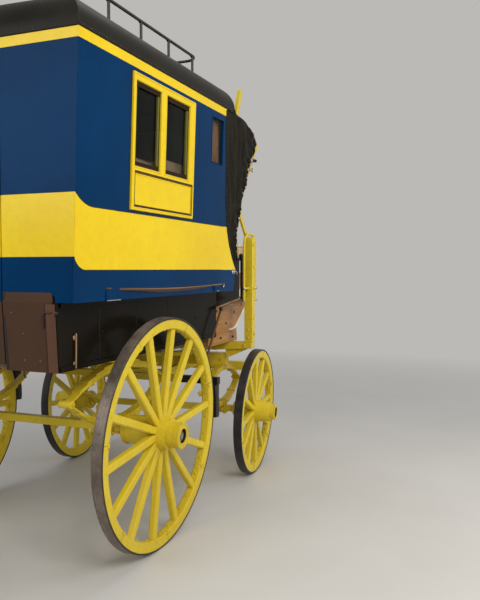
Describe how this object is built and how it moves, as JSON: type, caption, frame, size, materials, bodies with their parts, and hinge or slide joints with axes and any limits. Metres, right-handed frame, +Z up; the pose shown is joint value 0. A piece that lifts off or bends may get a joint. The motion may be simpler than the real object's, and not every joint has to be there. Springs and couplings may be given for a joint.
{
  "type": "horse-drawn stagecoach",
  "caption": "Four-wheeled road coach with a tall cabin on a sunk well, hooded driver's seat, roof rail, sprung axles and a steered fore-carriage.",
  "frame": {"origin": "on the ground, at the middle of the coach's length and width", "axes": "+X to the coach's right, +Y forward, +Z up"},
  "size_m": [1.8592, 3.18, 2.9386],
  "materials": {
    "body_blue": "deep blue gloss coach paint",
    "body_yellow": "bright yellow gloss coach paint",
    "gear_yellow": "pale yellow gloss paint on wood and iron of the running gear",
    "sash_green": "olive green satin paint",
    "roof_black": "black painted canvas, satin",
    "well_black": "black gloss coach paint",
    "well_brown": "dark brown satin paint",
    "iron_black": "black painted wrought iron",
    "tyre_iron": "worn bare iron, brown grey",
    "leather_black": "black hood leather, creased",
    "seat_leather": "dark brown seat leather",
    "varnished_wood": "varnished tan boards",
    "floor_wood": "dark stained boards",
    "glass": "clear window glass"
  },
  "bodies": {
    "coach": {"back_cushions": "seat_leather", "bench_boxes": "floor_wood", "bench_cushions": "seat_leather", "brake_beam": "iron_black", "brake_lever": "iron_black", "cheeks": "varnished_wood", "cornice": "body_yellow", "door_hinge_posts": "iron_black", "driver_cushions": "seat_leather", "driver_platform": "floor_wood", "driver_seat_box": "well_black", "front_wall": "body_blue", "grab_irons": "gear_yellow", "hood_bows": "gear_yellow", "hood_curtains": "leather_black", "hood_top": "leather_black", "ledge": "well_black", "rear_axle": "gear_yellow", "rear_boards": "body_blue", "rear_spring_blocks": "gear_yellow", "rear_springs": "gear_yellow", "rear_step": "iron_black", "rear_waist_bands": "body_yellow", "roof": "roof_black", "roof_rail": "iron_black", "seat_posts": "gear_yellow", "side_sashes": "sash_green", "side_sills": "body_blue", "side_upper_left": "body_blue", "side_upper_right": "body_blue", "side_waist_bands": "body_yellow", "side_window_frames": "body_yellow", "toe_board": "varnished_wood", "upper_bolster": "gear_yellow", "upper_wheel_plate": "gear_yellow", "well_floor": "floor_wood", "well_front": "well_black", "well_rear": "well_brown", "well_sides": "well_black", "window_glass": "glass"},
    "fore_carriage": {"front_axle": "gear_yellow", "front_springs": "gear_yellow", "lower_bolster": "gear_yellow", "lower_wheel_plate": "gear_yellow", "futchells": "gear_yellow", "splinter_bar": "gear_yellow", "pole_socket": "gear_yellow"},
    "rear_door": {"door_foot": "well_brown", "door_leaf": "body_blue", "door_waist_band": "body_yellow", "door_glass": "glass", "door_fittings": "iron_black"},
    "wheel_rear_left": {"wheel_rear_left": "gear_yellow", "tyre_rear_left": "tyre_iron"},
    "wheel_rear_right": {"wheel_rear_right": "gear_yellow", "tyre_rear_right": "tyre_iron"},
    "wheel_front_left": {"wheel_front_left": "gear_yellow", "tyre_front_left": "tyre_iron"},
    "wheel_front_right": {"wheel_front_right": "gear_yellow", "tyre_front_right": "tyre_iron"}
  },
  "joints": [
    {"name": "steering", "type": "hinge", "parent": "coach", "child": "fore_carriage", "pos_m": [0, 0.885, 0.9], "axis": [0, 0, 1], "range_deg": [-35, 25]},
    {"name": "rear_door_hinge", "type": "hinge", "parent": "coach", "child": "rear_door", "pos_m": [-0.359, -1.342, 1.7], "axis": [0, 0, -1], "range_deg": [0, 110]},
    {"name": "rear_right_wheel_spin", "type": "hinge", "parent": "coach", "child": "wheel_rear_right", "pos_m": [0.77957, -0.56, 0.63953], "axis": [0.9993, 0, -0.0384], "continuous": true},
    {"name": "front_right_wheel_spin", "type": "hinge", "parent": "fore_carriage", "child": "wheel_front_right", "pos_m": [0.765, 0.95193, 0.46666], "axis": [0.9955, 0.0871, -0.0384], "continuous": true},
    {"name": "rear_left_wheel_spin", "type": "hinge", "parent": "coach", "child": "wheel_rear_left", "pos_m": [-0.77957, -0.56, 0.63953], "axis": [-0.9993, 0, -0.0384], "continuous": true},
    {"name": "front_left_wheel_spin", "type": "hinge", "parent": "fore_carriage", "child": "wheel_front_left", "pos_m": [-0.765, 0.81807, 0.46666], "axis": [-0.9955, -0.0871, -0.0384], "continuous": true}
  ]
}
